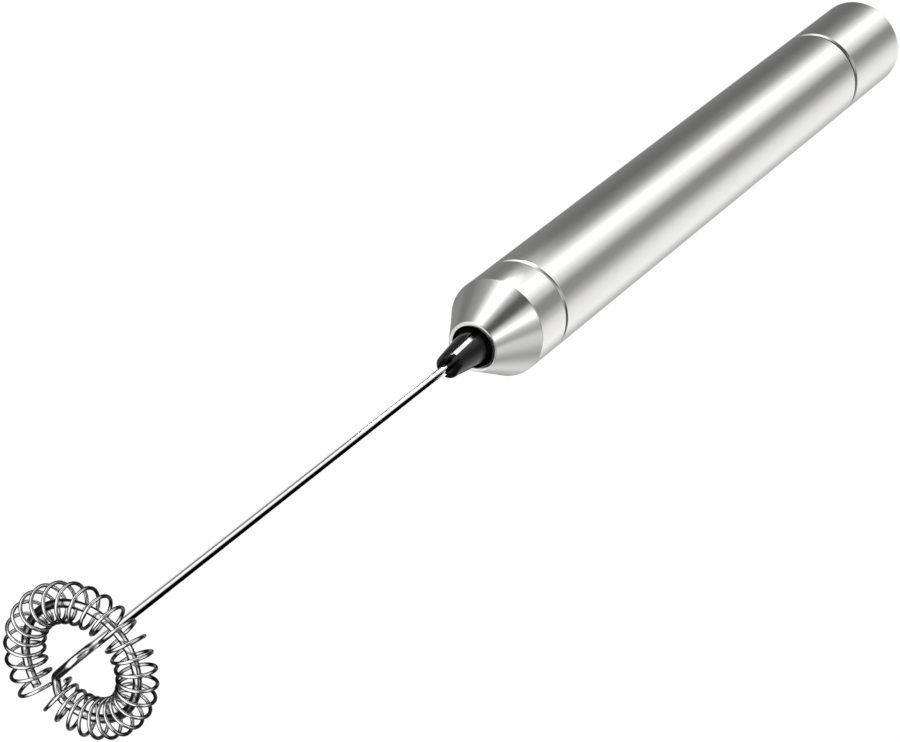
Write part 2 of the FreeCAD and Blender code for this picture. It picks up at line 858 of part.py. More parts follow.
def make_whisk_wire():
    """Straight up the axis, bent out towards the rim, bent twice more on to the ring, then round it."""
    top = FreeCAD.Vector(0, 0, size("whisk_height"))
    up = FreeCAD.Vector(0, 0, 1)
    bend = size("shaft_bend_radius")
    way = size("whisk_arm_angle")
    arm = heading(way)
    up_end = top - up * bend
    up_middle = up_end + up * (bend * math.sqrt(0.5)) + arm * (bend * (1 - math.sqrt(0.5)))
    arm_start = top + arm * bend
    # The ring is made of quarter turns, each larger than the last by a quarter of the spiral's growth.
    join = size("ring_join_angle")
    meet = ring_point(join)
    lag = math.degrees(math.atan2(size("ring_growth") / (2 * math.pi), size("ring_radius")))
    ring_way = join + 90 - lag
    # Two bends with a straight between them lead from the arm to the ring.
    first_turn = size("arm_bend_angle")
    second_turn = ring_way - way - first_turn
    origin = FreeCAD.Vector()
    first_reach = level_bend(origin, way, first_turn, size("arm_bend_radius"))[1]
    second_reach = level_bend(origin, way + first_turn, second_turn, size("ring_bend_radius"))[1]
    gap = meet - top - first_reach - second_reach
    slant = heading(way + first_turn)
    share = arm.cross(slant).z
    arm_length = gap.cross(slant).z / share
    slant_length = arm.cross(gap).z / share
    print("arm", round(arm_length, 2), "slant", round(slant_length, 2))
    arm_end = top + arm * arm_length
    first_bend, slant_start = level_bend(arm_end, way, first_turn, size("arm_bend_radius"))
    slant_end = slant_start + slant * slant_length
    second_bend, point = level_bend(slant_end, way + first_turn, second_turn, size("ring_bend_radius"))
    edges = [
        Part.LineSegment(FreeCAD.Vector(0, 0, size("wire_bottom")), up_end).toShape(),
        Part.Arc(up_end, up_middle, arm_start).toShape(),
        Part.LineSegment(arm_start, arm_end).toShape(),
        first_bend,
        Part.LineSegment(slant_start, slant_end).toShape(),
        second_bend,
    ]
    left = size("ring_end_angle") - join
    radius = size("ring_radius") + size("ring_growth") / 8
    while left > 0:
        turn = min(90.0, left)
        arc, point = level_bend(point, ring_way, turn, radius)
        edges.append(arc)
        ring_way += turn
        left -= turn
        radius += size("ring_growth") / 4
    return swept_wire("whisk_wire", Part.Wire(edges), size("wire_radius"))


def make_whisk_coil():
    """A spring whose own axis is the whisk's ring, so its wire follows a helix bent into a spiral."""
    radius = size("coil_radius")
    turns = size("coil_turns")
    start = size("ring_start_angle")
    sweep = size("coil_end_angle") - start
    steps = round(turns * 16)
    points = []
    for i in range(steps + 1):
        share = i / steps
        wind = 2 * math.pi * turns * share + math.pi
        points.append(ring_point(start + sweep * share, radius * math.cos(wind), radius * math.sin(wind)))
    return swept_wire("whisk_coil", points, size("coil_wire_radius"))


# --------------------------------------------------------------------------------------------------
# Assembly
# --------------------------------------------------------------------------------------------------
make_handle_tube()
make_nose_cone()
make_end_cap()
make_switch_cup()
make_ground_ring()
make_spring_holder()
make_cap_seal()
make_spring_seat()
make_battery_spring()
make_push_button()
make_button_spring()
make_contact_disc()
make_threaded_neck()
make_battery_sleeve()
make_return_strip()
make_battery("battery_rear", "cells_bottom")
make_battery("battery_front", "cells_bottom + cell_length")
make_positive_contact()
make_contact_carrier()
make_motor_can()
make_motor_end_bell()
make_bush("front_bush", "front_bush_radius", "motor_top - front_wall", "front_bush_top")
make_bush("rear_bush", "rear_bush_radius", "bell_bottom", "bell_top")
make_motor_magnets()
make_motor_brushes()
make_motor_terminals()
make_motor_holder()
make_motor_damper()
make_motor_shaft()
make_armature_core()
make_armature_windings()
make_commutator()
make_collet()
make_whisk_wire()
make_whisk_coil()
doc.recompute()

failed = [o.Name for o in doc.Objects if "Invalid" in o.State or "Error" in o.State]
if failed:
    raise RuntimeError(f"these objects did not compute: {failed}")
for piece in PIECES:
    if piece.Shape.isNull() or not piece.Shape.isValid() or piece.Shape.Volume <= 0:
        raise RuntimeError(f"{piece.Label} has no valid shape")

os.makedirs("parts", exist_ok=True)
for piece in PIECES:
    piece.Shape.exportStep(f"parts/{piece.Label}.step")
print(len(PIECES), "sub-parts written")
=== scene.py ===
import math

import bpy
from mathutils import Matrix, Vector


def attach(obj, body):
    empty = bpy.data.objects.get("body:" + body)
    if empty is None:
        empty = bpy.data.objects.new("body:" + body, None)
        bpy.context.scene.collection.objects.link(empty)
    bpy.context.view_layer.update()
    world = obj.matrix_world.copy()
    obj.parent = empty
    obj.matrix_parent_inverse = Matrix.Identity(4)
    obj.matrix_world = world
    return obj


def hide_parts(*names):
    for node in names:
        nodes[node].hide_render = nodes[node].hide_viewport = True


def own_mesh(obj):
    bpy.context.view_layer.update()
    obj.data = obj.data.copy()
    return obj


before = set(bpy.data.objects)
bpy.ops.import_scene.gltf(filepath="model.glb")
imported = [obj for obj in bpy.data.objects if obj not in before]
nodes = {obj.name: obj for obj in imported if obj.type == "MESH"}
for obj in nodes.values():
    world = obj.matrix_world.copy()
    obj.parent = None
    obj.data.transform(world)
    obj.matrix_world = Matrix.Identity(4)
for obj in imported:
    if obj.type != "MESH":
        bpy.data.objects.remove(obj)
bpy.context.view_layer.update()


# Handle tube: a length of thin stainless tube, cut square, its two ends broken with a small chamfer. It
# was ground with a belt while it turned slowly, which leaves a fine satin grain that runs along it.

TUBE_RADIUS = 0.0085
TUBE_WALL = 0.00045
TUBE_CHAMFER = 0.00030
TAIL_CHAMFER = 0.00045
TAIL_JOINT = 0.0202
NOSE_JOINT = 0.1363
SEAL_THICKNESS = 0.00030
NOSE_GAP = 0.00020
TUBE_LOW = TAIL_JOINT + SEAL_THICKNESS / 2
TUBE_HIGH = NOSE_JOINT - NOSE_GAP / 2


def turned(name, outline, sides=160, edge=0.00004):
    """A piece made on the lathe. outline is a closed run of (radius, height) points."""
    bpy.ops.object.select_all(action="DESELECT")
    radius, height = outline[0]
    bpy.ops.mesh.primitive_circle_add(vertices=sides, radius=radius, location=(0, 0, height))
    piece = bpy.context.active_object
    piece.name = name
    piece.data.name = name
    bpy.ops.object.transform_apply(location=True, rotation=False, scale=False)
    bpy.ops.object.mode_set(mode="EDIT")
    bpy.ops.mesh.select_all(action="SELECT")
    for next_radius, next_height in outline[1:] + outline[:1]:
        bpy.ops.mesh.extrude_region_move(TRANSFORM_OT_translate={"value": (0, 0, next_height - height)})
        share = next_radius / radius
        bpy.ops.transform.resize(value=(share, share, 1), center_override=(0, 0, next_height))
        radius, height = next_radius, next_height
    bpy.ops.mesh.select_all(action="SELECT")
    bpy.ops.mesh.remove_doubles(threshold=0.000002)
    bpy.ops.mesh.normals_make_consistent(inside=False)
    bpy.ops.object.mode_set(mode="OBJECT")
    if edge:
        soften(piece, edge)
    return piece


def soften(piece, width, angle=25):
    """Every sharp edge gets the small radius that deburring leaves, and the rest is shaded smooth."""
    bevel = piece.modifiers.new("deburred edge", "BEVEL")
    bevel.width = width
    bevel.segments = 2
    bevel.limit_method = "ANGLE"
    bevel.angle_limit = math.radians(angle)
    bpy.context.view_layer.objects.active = piece
    bpy.ops.object.modifier_apply(modifier=bevel.name)
    bpy.ops.object.select_all(action="DESELECT")
    piece.select_set(True)
    bpy.ops.object.shade_smooth_by_angle(angle=math.radians(38))
    flatten = piece.modifiers.new("true faces", "WEIGHTED_NORMAL")
    flatten.keep_sharp = True
    bpy.ops.object.modifier_apply(modifier=flatten.name)


class Value:
    """A shader socket that can be added to, subtracted from, multiplied and divided."""

    def __init__(self, finish, socket):
        self.finish = finish
        self.socket = socket

    def sum(self, operation, first, second):
        return self.finish.node("Math", {"operation": operation}, {0: first, 1: second})

    def __add__(self, other):
        return self.sum("ADD", self, other)

    def __radd__(self, other):
        return self.sum("ADD", other, self)

    def __sub__(self, other):
        return self.sum("SUBTRACT", self, other)

    def __mul__(self, other):
        return self.sum("MULTIPLY", self, other)

    def __truediv__(self, other):
        return self.sum("DIVIDE", self, other)


class Finish:
    """A material and its nodes. constants are set on the surface shader's own sockets."""

    def __init__(self, name, **constants):
        self.material = bpy.data.materials.new(name)
        self.material.use_nodes = True
        self.tree = self.material.node_tree
        self.surface = self.tree.nodes["Principled BSDF"]
        for socket, value in constants.items():
            self.surface.inputs[socket.replace("_", " ")].default_value = value

    def node(self, kind, settings=None, sockets=None, result=0):
        """Adds a node of any type: its settings first, then the values or links of its sockets."""
        node = self.tree.nodes.new("ShaderNode" + kind)
        for setting, value in (settings or {}).items():
            if setting == "stops":
                ramp = node.color_ramp
                while len(ramp.elements) < len(value):
                    ramp.elements.new(0.5)
                for element, (place, colour) in zip(ramp.elements, value):
                    element.position = place
                    element.color = colour
            elif setting == "ease":
                node.color_ramp.interpolation = value
            else:
                setattr(node, setting, value)
        for socket, value in (sockets or {}).items():
            if isinstance(value, Value):
                self.tree.links.new(value.socket, node.inputs[socket])
            else:
                node.inputs[socket].default_value = value
        return Value(self, node.outputs[result])

    def place(self, stretch):
        """The point on the piece, in metres times stretch."""
        where = self.node("TexCoord", result="Object")
        return self.node("Mapping", None, {"Vector": where, "Scale": stretch})

    def noise(self, stretch, detail=3.0, rough=0.5):
        """Noise from 0 to 1 whose grain is 1 / stretch metres long on each axis."""
        sockets = {"Vector": self.place(stretch), "Scale": 1.0, "Detail": detail, "Roughness": rough}
        return self.node("TexNoise", None, sockets)

    def blend(self, share, first, second):
        """A colour between first and second."""
        settings = {"data_type": "RGBA"}
        colours = [c if isinstance(c, Value) else (*c, 1.0) for c in (first, second)]
        return self.node("Mix", settings, {0: share, 6: colours[0], 7: colours[1]}, result=2)

    def span(self, value, low, high):
        """0 below low, 1 above high, and a smooth rise between them."""
        settings = {"interpolation_type": "SMOOTHSTEP"}
        return self.node("MapRange", settings, {0: value, 1: low, 2: high})

    def rim(self, low, high):
        """Rises from 0 to 1 as the surface turns away from the eye. 0 is face on and 1 is edge on."""
        facing = self.node("LayerWeight", None, {"Blend": 0.5}, result="Facing")
        return self.span(facing, low, high)

    def along(self, axis):
        """How far the point is along X, Y or Z, in metres."""
        where = self.node("TexCoord", result="Object")
        return self.node("SeparateXYZ", None, {0: where}, result=axis)

    def ramp(self, share, *stops, ease="LINEAR"):
        """A grey ramp of (place, grey) stops."""
        greys = [(place, (grey, grey, grey, 1.0)) for place, grey in stops]
        return self.node("ValToRGB", {"stops": greys, "ease": ease}, {0: share})

    def bump(self, height, depth, strength=1.0):
        """Links a height from 0 to 1, depth metres deep, to the surface's normal."""
        normal = self.node("Bump", None, {"Height": height, "Distance": depth, "Strength": strength})
        self.link("Normal", normal)

    def link(self, socket, value):
        self.tree.links.new(value.socket, self.surface.inputs[socket])

    def on(self, *pieces):
        """Puts the material on pieces."""
        for piece in pieces:
            piece.data.materials.clear()
            piece.data.materials.append(self.material)


def satin_steel(name, grain, roughness, joint):
    """Stainless steel with a fine belt-ground grain, stretched along X, Y and Z, painted shade where it turns
    edge on to the eye, and a dark line at joint.
    """
    steel = Finish(name, Metallic=1.0)
    scratches = steel.noise(grain, detail=4.0, rough=0.65)
    cloud = steel.noise((60, 60, 35), detail=2.0)
    handled = steel.noise((160, 160, 90), detail=5.0, rough=0.6)
    shade = steel.blend(scratches * 0.5 + cloud * 0.5, (0.765, 0.76, 0.75), (0.835, 0.83, 0.82))
    # Painted shade: up to 55 percent of the base colour goes to a grey of 0.20 as the surface turns edge on
    # to the eye.
    shade = steel.blend(steel.rim(0.65, 0.90) * 0.55, shade, (0.20, 0.20, 0.20))
    # The base colour goes near black within 0.18 mm of the joint's height, a dark line along the joint.
    away = steel.node("Math", {"operation": "ABSOLUTE"}, {0: steel.along("Z") - joint})
    joint_darkening = steel.span(away, 0.00018, 0.00012)
    shade = steel.blend(joint_darkening, shade, (0.02, 0.02, 0.02))
    steel.link("Base Color", shade)
    steel.link("Roughness", roughness + (scratches - 0.5) * 0.10 + (handled - 0.5) * 0.06)
    steel.bump(scratches, 0.0000012)
    return steel


tube = turned("handle_tube_skin", [
    (TUBE_RADIUS - TUBE_WALL, TUBE_LOW),
    (TUBE_RADIUS - TAIL_CHAMFER, TUBE_LOW),
    (TUBE_RADIUS, TUBE_LOW + TAIL_CHAMFER),
    (TUBE_RADIUS, TUBE_HIGH - TUBE_CHAMFER),
    (TUBE_RADIUS - TUBE_CHAMFER, TUBE_HIGH),
    (TUBE_RADIUS - TUBE_WALL, TUBE_HIGH),
])
satin_steel("satin_steel_tube", (9000, 9000, 160), 0.23, TAIL_JOINT).on(tube)
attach(tube, "handle")
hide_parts("handle_tube")


# Nose: turned from stainless bar in one piece, with a short band, a step, a plain cone and a rolled lip
# round the hole. Its spigot is a press fit in the tube and holds the front of the motor.

BAND_LOW = NOSE_JOINT + NOSE_GAP / 2
CONE_LOW = 0.1445
CONE_STEP = 0.00012
NOSE_TOP = 0.1526
LIP_RADIUS = 0.0043
HOLE_RADIUS = 0.0036
HOLE_DEPTH = 0.0032
SPIGOT_LOW = 0.1330
SPIGOT_BORE = 0.00642
SEAT_RADIUS = 0.0052
SEAT_LOW = 0.1398
SEAT_HIGH = 0.1432

nose = turned("nose_cone_turned", [
    (SPIGOT_BORE, SPIGOT_LOW),
    (TUBE_RADIUS - TUBE_WALL, SPIGOT_LOW),
    (TUBE_RADIUS - TUBE_WALL, BAND_LOW),
    (TUBE_RADIUS - TUBE_CHAMFER, BAND_LOW),
    (TUBE_RADIUS, BAND_LOW + TUBE_CHAMFER),
    (TUBE_RADIUS, CONE_LOW),
    (TUBE_RADIUS - CONE_STEP, CONE_LOW + CONE_STEP),
    (LIP_RADIUS + 0.00010, NOSE_TOP - 0.00020),
    (LIP_RADIUS - 0.00002, NOSE_TOP - 0.00005),
    (LIP_RADIUS - 0.00014, NOSE_TOP),
    (HOLE_RADIUS + 0.00008, NOSE_TOP),
    (HOLE_RADIUS, NOSE_TOP - 0.00009),
    (HOLE_RADIUS, NOSE_TOP - HOLE_DEPTH),
    (SEAT_RADIUS, SEAT_HIGH),
    (SEAT_RADIUS, SEAT_LOW),
    (SPIGOT_BORE, SEAT_LOW),
])
satin_steel("satin_steel_nose", (500, 500, 7000), 0.20, NOSE_JOINT).on(nose)
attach(nose, "handle")
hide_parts("nose_cone")


# Threaded neck: a brass ring pressed into the tube, with a coarse right-hand thread of 2 mm pitch on the
# part that stands out. The cap screws on it, and its upper edge touches the strip to the motor.

NECK_BORE = 0.00735
NECK_CREST = 0.00785
NECK_LOW = 0.0132
NECK_HIGH = 0.0243
NECK_LEAD = 0.0002
PITCH = 0.0020
THREAD_ROOT = 0.00758
THREAD_CLEAR = 0.00800
THREAD_TURNS = 3.2

neck = turned("threaded_neck_turned", [
    (NECK_BORE, NECK_LOW),
    (NECK_CREST - NECK_LEAD, NECK_LOW),
    (NECK_CREST, NECK_LOW + NECK_LEAD),
    (NECK_CREST, TUBE_LOW),
    (TUBE_RADIUS - TUBE_WALL, TUBE_LOW),
    (TUBE_RADIUS - TUBE_WALL, NECK_HIGH),
    (NECK_BORE, NECK_HIGH),
], edge=0)


def helix(name, profile, turns, low):
    """A closed profile of (radius, height) points, screwed up the axis by PITCH a turn from height low."""
    bpy.ops.object.select_all(action="DESELECT")
    bpy.ops.mesh.primitive_circle_add(vertices=len(profile), radius=0.001)
    piece = bpy.context.active_object
    piece.name = name
    piece.data.name = name
    for vertex, (radius, height) in zip(piece.data.vertices, profile):
        vertex.co = (radius, 0, low + height)
    screw = piece.modifiers.new("thread", "SCREW")
    screw.angle = 2 * math.pi * turns
    screw.screw_offset = PITCH * turns
    screw.steps = int(72 * turns)
    screw.render_steps = screw.steps
    bpy.ops.object.modifier_apply(modifier=screw.name)
    bpy.ops.object.mode_set(mode="EDIT")
    bpy.ops.mesh.select_mode(type="EDGE")
    bpy.ops.mesh.select_all(action="DESELECT")
    bpy.ops.mesh.select_non_manifold()
    bpy.ops.mesh.edge_face_add()
    bpy.ops.mesh.select_all(action="SELECT")
    bpy.ops.mesh.normals_make_consistent(inside=False)
    bpy.ops.object.mode_set(mode="OBJECT")
    return piece


def carve(piece, tool):
    """Takes one mesh out of another, as a cutter or a core pin would."""
    cut = piece.modifiers.new("cut", "BOOLEAN")
    cut.operation = "DIFFERENCE"
    cut.solver = "EXACT"
    cut.object = tool
    bpy.context.view_layer.objects.active = piece
    bpy.ops.object.modifier_apply(modifier=cut.name)
    bpy.data.objects.remove(tool)


groove = [
    (THREAD_ROOT, -0.00030),
    (THREAD_ROOT, 0.00030),
    (THREAD_CLEAR, 0.00062),
    (THREAD_CLEAR, -0.00062),
]
carve(neck, helix("thread_cutter", groove, THREAD_TURNS, NECK_LOW - 0.0006))
soften(neck, 0.00003, angle=32)


def turned_metal(name, light, dark, roughness, grain=(700, 700, 9000)):
    """Bare metal with faint turning marks and patches where it has tarnished."""
    metal = Finish(name, Metallic=1.0)
    marks = metal.noise(grain, detail=3.0, rough=0.6)
    patches = metal.noise((420, 420, 420), detail=5.0, rough=0.6)
    metal.link("Base Color", metal.blend(marks * 0.4 + patches * 0.6, dark, light))
    metal.link("Roughness", roughness + (patches - 0.5) * 0.18)
    metal.bump(marks, 0.000003, 0.7)
    return metal


brass = turned_metal("turned_brass", (0.83, 0.66, 0.36), (0.62, 0.47, 0.22), 0.28)
brass.on(neck)
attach(neck, "handle")
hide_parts("threaded_neck")


# Battery compartment: two dry cells nose to tail in a natural nylon sleeve, the nickel return strip in the
# sleeve's slot, and at the top a carrier disc with the contact strip that the front cell's nub presses on.

def moulded(name, light, dark, roughness, grain=1400, sheen=0.5):
    """A moulded plastic: a faint flow mottle, a slightly uneven gloss and a very fine texture."""
    plastic = Finish(name, Specular_IOR_Level=sheen)
    flow = plastic.noise((170, 170, 90), detail=3.0)
    texture = plastic.noise((grain, grain, grain), detail=4.0, rough=0.6)
    plastic.link("Base Color", plastic.blend(flow * 0.7 + texture * 0.3, dark, light))
    plastic.link("Roughness", roughness + (texture - 0.5) * 0.16)
    plastic.bump(texture, 0.000006, 0.6)
    return plastic


nylon = moulded("natural_nylon", (0.80, 0.79, 0.74), (0.70, 0.68, 0.61), 0.42)
nylon.on(nodes["battery_sleeve"], nodes["contact_carrier"], nodes["motor_holder"])

strip_metal = turned_metal("nickel_strip", (0.76, 0.74, 0.70), (0.62, 0.60, 0.55), 0.25, (260, 9000, 260))
strip_metal.on(nodes["return_strip"], nodes["positive_contact"])

# The cell's printed film covers its can up to a shrunk edge, and bare steel shows at both ends.
FILM_LOW = 0.0007
FILM_HIGH = 0.0489
BAND_FROM = 0.0385
EDGE_FADE = 0.0001

for cell_name, cell_low in (("battery_rear", 0.0170), ("battery_front", 0.0675)):
    film = Finish("film_" + cell_name)
    level = film.along("Z")
    print_noise = film.noise((3000, 3000, 3000), detail=3.0)
    band = film.span(level, cell_low + BAND_FROM, cell_low + BAND_FROM + 3 * EDGE_FADE)
    inked = film.blend(band, (0.035, 0.042, 0.055), (0.70, 0.44, 0.16))
    inked = film.blend(print_noise * 0.12, inked, (0.30, 0.30, 0.30))
    top_end = film.span(level, cell_low + FILM_HIGH - EDGE_FADE, cell_low + FILM_HIGH + EDGE_FADE)
    low_end = film.span(level, cell_low + FILM_LOW + EDGE_FADE, cell_low + FILM_LOW - EDGE_FADE)
    bare = film.node("Math", {"operation": "MAXIMUM"}, {0: top_end, 1: low_end})
    film.link("Base Color", film.blend(bare, inked, (0.72, 0.71, 0.69)))
    film.link("Metallic", bare * 0.7 + 0.3)
    film.link("Roughness", 0.24 + film.noise((500, 500, 200), detail=4.0) * 0.14)
    film.bump(film.noise((220, 220, 900), detail=2.0), 0.00001, 0.5)
    film.on(nodes[cell_name])


# Motor: a small direct-current can motor, its rear closed by a moulded end bell. The fixed pieces are the
# can, the bearings, two ferrite magnets, the brushes, the terminals and a rubber ring against the nose.

nickel = turned_metal("nickel_plated_can", (0.76, 0.75, 0.72), (0.64, 0.63, 0.60), 0.22, (90, 90, 5200))
nickel.on(nodes["motor_can"])
moulded("end_bell_white", (0.74, 0.73, 0.69), (0.63, 0.62, 0.57), 0.38).on(nodes["motor_end_bell"])
bronze = turned_metal("sintered_bronze", (0.58, 0.42, 0.24), (0.38, 0.26, 0.13), 0.48, (5200, 5200, 5200))
bronze.on(nodes["front_bush"], nodes["rear_bush"])
ferrite = moulded("sintered_ferrite", (0.085, 0.085, 0.095), (0.035, 0.035, 0.040), 0.62, grain=5200)
ferrite.on(nodes["motor_magnets"])
copper = turned_metal("drawn_copper", (0.80, 0.43, 0.26), (0.60, 0.27, 0.14), 0.26, (2600, 2600, 2600))
copper.on(nodes["motor_brushes"])
tinned = turned_metal("tinned_terminal", (0.80, 0.66, 0.40), (0.58, 0.46, 0.25), 0.30, (1800, 1800, 400))
tinned.on(nodes["motor_terminals"])
rubber = moulded("black_rubber", (0.040, 0.040, 0.041), (0.016, 0.016, 0.017), 0.66, grain=3200, sheen=0.3)
rubber.on(nodes["motor_damper"])


# Rotor: the ground shaft, three stacked poles of sheet steel with a copper coil on each, and the
# commutator behind them. It turns with the collet and the whisk.

ground = turned_metal("ground_shaft", (0.78, 0.78, 0.78), (0.66, 0.66, 0.66), 0.14, (300, 300, 12000))
ground.on(nodes["motor_shaft"])
stack = Finish("stacked_sheets", Metallic=0.9)
sheet_edge = stack.node("Math", {"operation": "FRACT"}, {0: stack.along("Z") * 2000})
seam = stack.span(sheet_edge, 0.20, 0.05)
oxide = stack.noise((900, 900, 900), detail=4.0)
stack.link("Base Color", stack.blend(seam, stack.blend(oxide, (0.30, 0.30, 0.32), (0.44, 0.44, 0.46)),
                                     (0.10, 0.10, 0.11)))
stack.link("Roughness", 0.38 + oxide * 0.15)
stack.bump(sheet_edge, 0.00002, 0.5)
stack.on(nodes["armature_core"])
coiled = Finish("enamelled_copper", Metallic=0.75, Coat_Weight=0.6)
strand = coiled.node("Math", {"operation": "FRACT"}, {0: coiled.along("Z") * 5000})
lacquer = coiled.noise((1500, 1500, 1500), detail=3.0)
coiled.link("Base Color", coiled.blend(lacquer, (0.48, 0.17, 0.07), (0.72, 0.31, 0.14)))
coiled.link("Roughness", 0.22 + lacquer * 0.16)
coiled.bump(strand, 0.00004, 0.7)
coiled.on(nodes["armature_windings"])
bars = Finish("commutator_bars", Metallic=0.9)
slots = bars.node("Math", {"operation": "FRACT"}, {0: bars.along("Z") * 3000})
worn = bars.noise((2400, 2400, 9000), detail=3.0)
bars.link("Base Color", bars.blend(worn, (0.60, 0.30, 0.17), (0.82, 0.48, 0.30)))
bars.link("Roughness", 0.20 + worn * 0.22)
bars.bump(slots, 0.000006, 0.5)
bars.on(nodes["commutator"])


# Tail cap: drawn and turned from the same stainless steel, with a rounded end, a hole for the button,
# and a female thread inside its open end.

CAP_HIGH = TAIL_JOINT - SEAL_THICKNESS / 2
CAP_BORE = 0.0079
CAP_END = 0.0012
BUTTON_HOLE = 0.00462
HOLE_CHAMFER = 0.00012
END_ROUND = 0.00045
RIDGE_CREST = 0.00764
RIDGE_TURNS = 1.6
RIDGE_LOW = 0.0146

rounded = []
for step in range(5):
    swing = math.radians(22.5 * step)
    radius = TUBE_RADIUS - END_ROUND * (1 - math.sin(swing))
    rounded.append((radius, END_ROUND * (1 - math.cos(swing))))

cap = turned("end_cap_turned", [
    (BUTTON_HOLE, HOLE_CHAMFER),
    (BUTTON_HOLE + HOLE_CHAMFER, 0.0),
    *rounded,
    (TUBE_RADIUS, CAP_HIGH - TAIL_CHAMFER),
    (TUBE_RADIUS - TAIL_CHAMFER, CAP_HIGH),
    (CAP_BORE, CAP_HIGH),
    (CAP_BORE, CAP_END),
    (BUTTON_HOLE, CAP_END),
], edge=0.00003)
ridge = [
    (THREAD_CLEAR, 0.00044),
    (THREAD_CLEAR, -0.00044),
    (RIDGE_CREST, -0.00018),
    (RIDGE_CREST, 0.00018),
]
thread = helix("cap_thread", ridge, RIDGE_TURNS, RIDGE_LOW)
join = cap.modifiers.new("rolled thread", "BOOLEAN")
join.operation = "UNION"
join.solver = "EXACT"
join.object = thread
bpy.context.view_layer.objects.active = cap
bpy.ops.object.modifier_apply(modifier=join.name)
bpy.data.objects.remove(thread)
soften(cap, 0.00001, angle=50)
satin_steel("satin_steel_cap", (8600, 8600, 170), 0.24, TAIL_JOINT).on(cap)
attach(cap, "tail_cap")
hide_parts("end_cap")


# Inside the cap: a black switch cup, a brass ground ring, a holder for the battery spring with its riveted
# seat, and the spring itself. They are pressed in one after another and turn with the cap.

black_nylon = moulded("black_nylon", (0.045, 0.045, 0.046), (0.022, 0.022, 0.023), 0.36)
black_nylon.on(nodes["switch_cup"], nodes["spring_holder"])
pressed_brass = turned_metal("pressed_brass", (0.85, 0.69, 0.40), (0.66, 0.50, 0.26), 0.24, (900, 900, 900))
pressed_brass.on(nodes["ground_ring"], nodes["spring_seat"])
plated = turned_metal("plated_spring_wire", (0.80, 0.79, 0.77), (0.66, 0.65, 0.62), 0.20, (1500, 1500, 1500))
plated.on(nodes["battery_spring"])


# Cap seal: a punched rubber washer in the joint between the cap and the tube, seen as a thin dark line.
# It rides down with the cap but doesn't turn.

SEAL_BORE = 0.00788
SEAL_RADIUS = 0.0083

seal = turned("seal_washer", [
    (SEAL_BORE, CAP_HIGH),
    (SEAL_RADIUS, CAP_HIGH),
    (SEAL_RADIUS, TUBE_LOW),
    (SEAL_BORE, TUBE_LOW),
], edge=0.00006)
seal_rubber = moulded("seal_rubber", (0.034, 0.034, 0.035), (0.012, 0.012, 0.013), 0.7, grain=3600, sheen=0.3)
seal_rubber.on(seal)
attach(seal, "cap_washer")
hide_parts("cap_seal")


# Button: a matt black moulding in the middle of the cap's end, dished for the fingertip. A flange keeps it
# in, a light spring pushes it out, and its stem carries the switch's contact disc.

BUTTON_RADIUS = 0.0045
BUTTON_FACE = 0.00035
BUTTON_DISH = 0.0003
FLANGE_RADIUS = 0.0054
FLANGE_LOW = 0.00128
FLANGE_HIGH = 0.0023
STEM_RADIUS = 0.0013
STEM_HIGH = 0.0065

dish = [(share * (BUTTON_RADIUS - 0.0007), BUTTON_FACE + BUTTON_DISH * (1 - share**2))
        for share in (0.02, 0.25, 0.45, 0.62, 0.77, 0.90, 1.0)]
button = turned("push_button_moulded", dish + [
    (BUTTON_RADIUS - 0.00030, BUTTON_FACE),
    (BUTTON_RADIUS - 0.00009, BUTTON_FACE + 0.00009),
    (BUTTON_RADIUS, BUTTON_FACE + 0.00030),
    (BUTTON_RADIUS, FLANGE_LOW),
    (FLANGE_RADIUS, FLANGE_LOW),
    (FLANGE_RADIUS, FLANGE_HIGH),
    (STEM_RADIUS, FLANGE_HIGH),
    (STEM_RADIUS, STEM_HIGH),
    (0.00008, STEM_HIGH),
], sides=96, edge=0.00004)
button_black = moulded("button_black", (0.060, 0.060, 0.061), (0.034, 0.034, 0.035), 0.48, grain=2600)
button_black.on(button)
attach(button, "button")
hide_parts("push_button")
pressed_brass.on(nodes["contact_disc"])


# Button spring: a light coil of stainless wire between the button's flange and the switch cup. It closes
# up against the cup as the button goes in.

SPRING_RADIUS = 0.0026
SPRING_WIRE = 0.00016
SPRING_LOW = 0.00248
SPRING_HIGH = 0.00482
SPRING_TURNS = 3
SPRING_STEPS = SPRING_TURNS * 32


def wire(name, points, radius, sides):
    """A round wire along points, made a mesh, with its two ends closed."""
    line = bpy.data.curves.new(name, "CURVE")
    line.dimensions = "3D"
    line.bevel_depth = radius
    line.bevel_resolution = sides // 4 - 1
    line.use_fill_caps = True
    run = line.splines.new("POLY")
    run.points.add(len(points) - 1)
    for knot, point in zip(run.points, points):
        knot.co = (*point, 1.0)
    piece = bpy.data.objects.new(name, line)
    bpy.context.scene.collection.objects.link(piece)
    bpy.ops.object.select_all(action="DESELECT")
    piece.select_set(True)
    bpy.context.view_layer.objects.active = piece
    bpy.ops.object.convert(target="MESH")
    piece = bpy.context.active_object
    piece.data.name = name
    bpy.ops.object.mode_set(mode="EDIT")
    bpy.ops.mesh.select_all(action="SELECT")
    bpy.ops.mesh.remove_doubles(threshold=0.000002)
    bpy.ops.mesh.normals_make_consistent(inside=False)
    bpy.ops.object.mode_set(mode="OBJECT")
    bpy.ops.object.shade_smooth_by_angle(angle=math.radians(50))
    return piece


